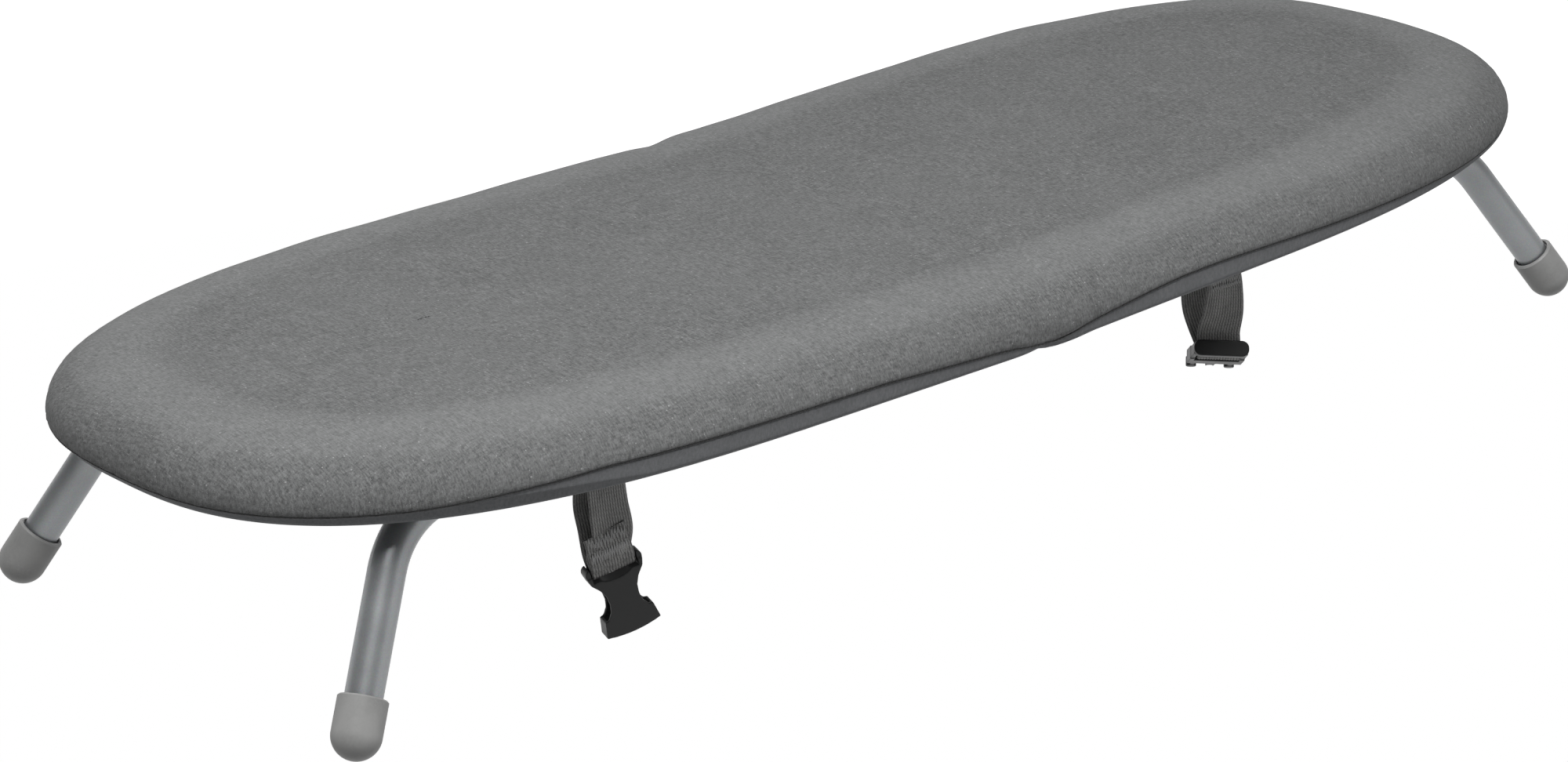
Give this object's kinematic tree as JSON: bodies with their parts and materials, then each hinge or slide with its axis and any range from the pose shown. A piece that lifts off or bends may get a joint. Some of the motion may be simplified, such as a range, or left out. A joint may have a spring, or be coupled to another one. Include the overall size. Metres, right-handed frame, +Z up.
{
  "type": "table-top ironing board",
  "caption": "Folding table-top ironing board with rounded ends, a padded fabric top, bent tube legs with domed foot caps, and webbing straps with a side-release buckle.",
  "frame": {"origin": "on the table, under the middle of the opened board", "axes": "+X along the board, towards the half that carries the male buckle; +Y to the back, away from the straps; +Z up"},
  "size_m": [0.7996, 0.304, 0.1198],
  "materials": {
    "steel": "satin",
    "tray_steel": "satin",
    "foam": "open-cell foam",
    "fabric_grey": "plain weave",
    "elastic_dark": "ribbed",
    "cap_grey": "satin",
    "saddle_grey": "satin",
    "webbing_dark": "ribbed weave",
    "buckle_black": "satin"
  },
  "bodies": {
    "left_half": {"left_tray": "tray_steel", "left_pad": "foam", "left_cover": "fabric_grey", "left_hem": "fabric_grey", "left_hem_elastic": "elastic_dark", "front_hinge_left_leaf": "steel", "back_hinge_left_leaf": "steel", "front_hinge_pin": "steel", "back_hinge_pin": "steel", "left_hinge_rivets": "steel", "front_left_outer_saddle": "saddle_grey", "front_left_inner_saddle": "saddle_grey", "back_left_outer_saddle": "saddle_grey", "back_left_inner_saddle": "saddle_grey", "left_saddle_rivets": "steel", "left_strap_anchor": "steel", "left_anchor_rivets": "steel"},
    "right_half": {"right_tray": "tray_steel", "right_pad": "foam", "right_cover": "fabric_grey", "right_hem": "fabric_grey", "right_hem_elastic": "elastic_dark", "front_hinge_right_leaf": "steel", "back_hinge_right_leaf": "steel", "right_hinge_rivets": "steel", "front_right_outer_saddle": "saddle_grey", "front_right_inner_saddle": "saddle_grey", "back_right_outer_saddle": "saddle_grey", "back_right_inner_saddle": "saddle_grey", "right_saddle_rivets": "steel", "right_strap_anchor": "steel", "right_anchor_rivets": "steel"},
    "front_left_folding_leg": {"front_left_leg": "steel", "front_left_foot_cap": "cap_grey", "front_left_end_plug": "cap_grey", "front_left_stop_pin": "steel"},
    "front_right_folding_leg": {"front_right_leg": "steel", "front_right_foot_cap": "cap_grey", "front_right_end_plug": "cap_grey", "front_right_stop_pin": "steel"},
    "back_left_folding_leg": {"back_left_leg": "steel", "back_left_foot_cap": "cap_grey", "back_left_end_plug": "cap_grey", "back_left_stop_pin": "steel"},
    "back_right_folding_leg": {"back_right_leg": "steel", "back_right_foot_cap": "cap_grey", "back_right_end_plug": "cap_grey", "back_right_stop_pin": "steel"},
    "left_strap": {"left_webbing": "webbing_dark"},
    "right_strap": {"right_webbing": "webbing_dark"},
    "female_half_buckle": {"female_buckle": "buckle_black"},
    "male_half_buckle": {"male_buckle": "buckle_black"}
  },
  "joints": [
    {"name": "board_fold", "type": "hinge", "parent": "left_half", "child": "right_half", "pos_m": [0, 0, 0.08097], "axis": [0, 1, 0], "range_deg": [0, 150]},
    {"name": "front_left_leg_fold", "type": "hinge", "parent": "left_half", "child": "front_left_folding_leg", "pos_m": [-0.23347, -0.0937, 0.08475], "axis": [0.9998, 0, -0.0192], "range_deg": [0, 102]},
    {"name": "front_right_leg_fold", "type": "hinge", "parent": "right_half", "child": "front_right_folding_leg", "pos_m": [0.23347, -0.0937, 0.08475], "axis": [0.9998, 0, 0.0192], "range_deg": [0, 102]},
    {"name": "back_left_leg_fold", "type": "hinge", "parent": "left_half", "child": "back_left_folding_leg", "pos_m": [-0.23347, 0.0937, 0.08475], "axis": [-0.9998, 0, 0.0192], "range_deg": [0, 102]},
    {"name": "back_right_leg_fold", "type": "hinge", "parent": "right_half", "child": "back_right_folding_leg", "pos_m": [0.23347, 0.0937, 0.08475], "axis": [-0.9998, 0, -0.0192], "range_deg": [0, 102]},
    {"name": "left_strap_swing", "type": "hinge", "parent": "left_half", "child": "left_strap", "pos_m": [-0.24099, -0.121, 0.0836], "axis": [0.9998, 0, -0.0192], "range_deg": [-75, 50]},
    {"name": "right_strap_swing", "type": "hinge", "parent": "right_half", "child": "right_strap", "pos_m": [0.13001, -0.121, 0.08147], "axis": [0.9998, 0, 0.0192], "range_deg": [-75, 55]},
    {"name": "female_buckle_pivot", "type": "hinge", "parent": "left_strap", "child": "female_half_buckle", "pos_m": [-0.23747, -0.121, 0.04312], "axis": [0.9084, -0.3288, 0.2582], "range_deg": [-60, 60]},
    {"name": "male_buckle_pivot", "type": "hinge", "parent": "right_strap", "child": "male_half_buckle", "pos_m": [0.1309, -0.121, 0.03528], "axis": [0.7647, -0.6403, -0.0725], "range_deg": [-4, 30]}
  ]
}
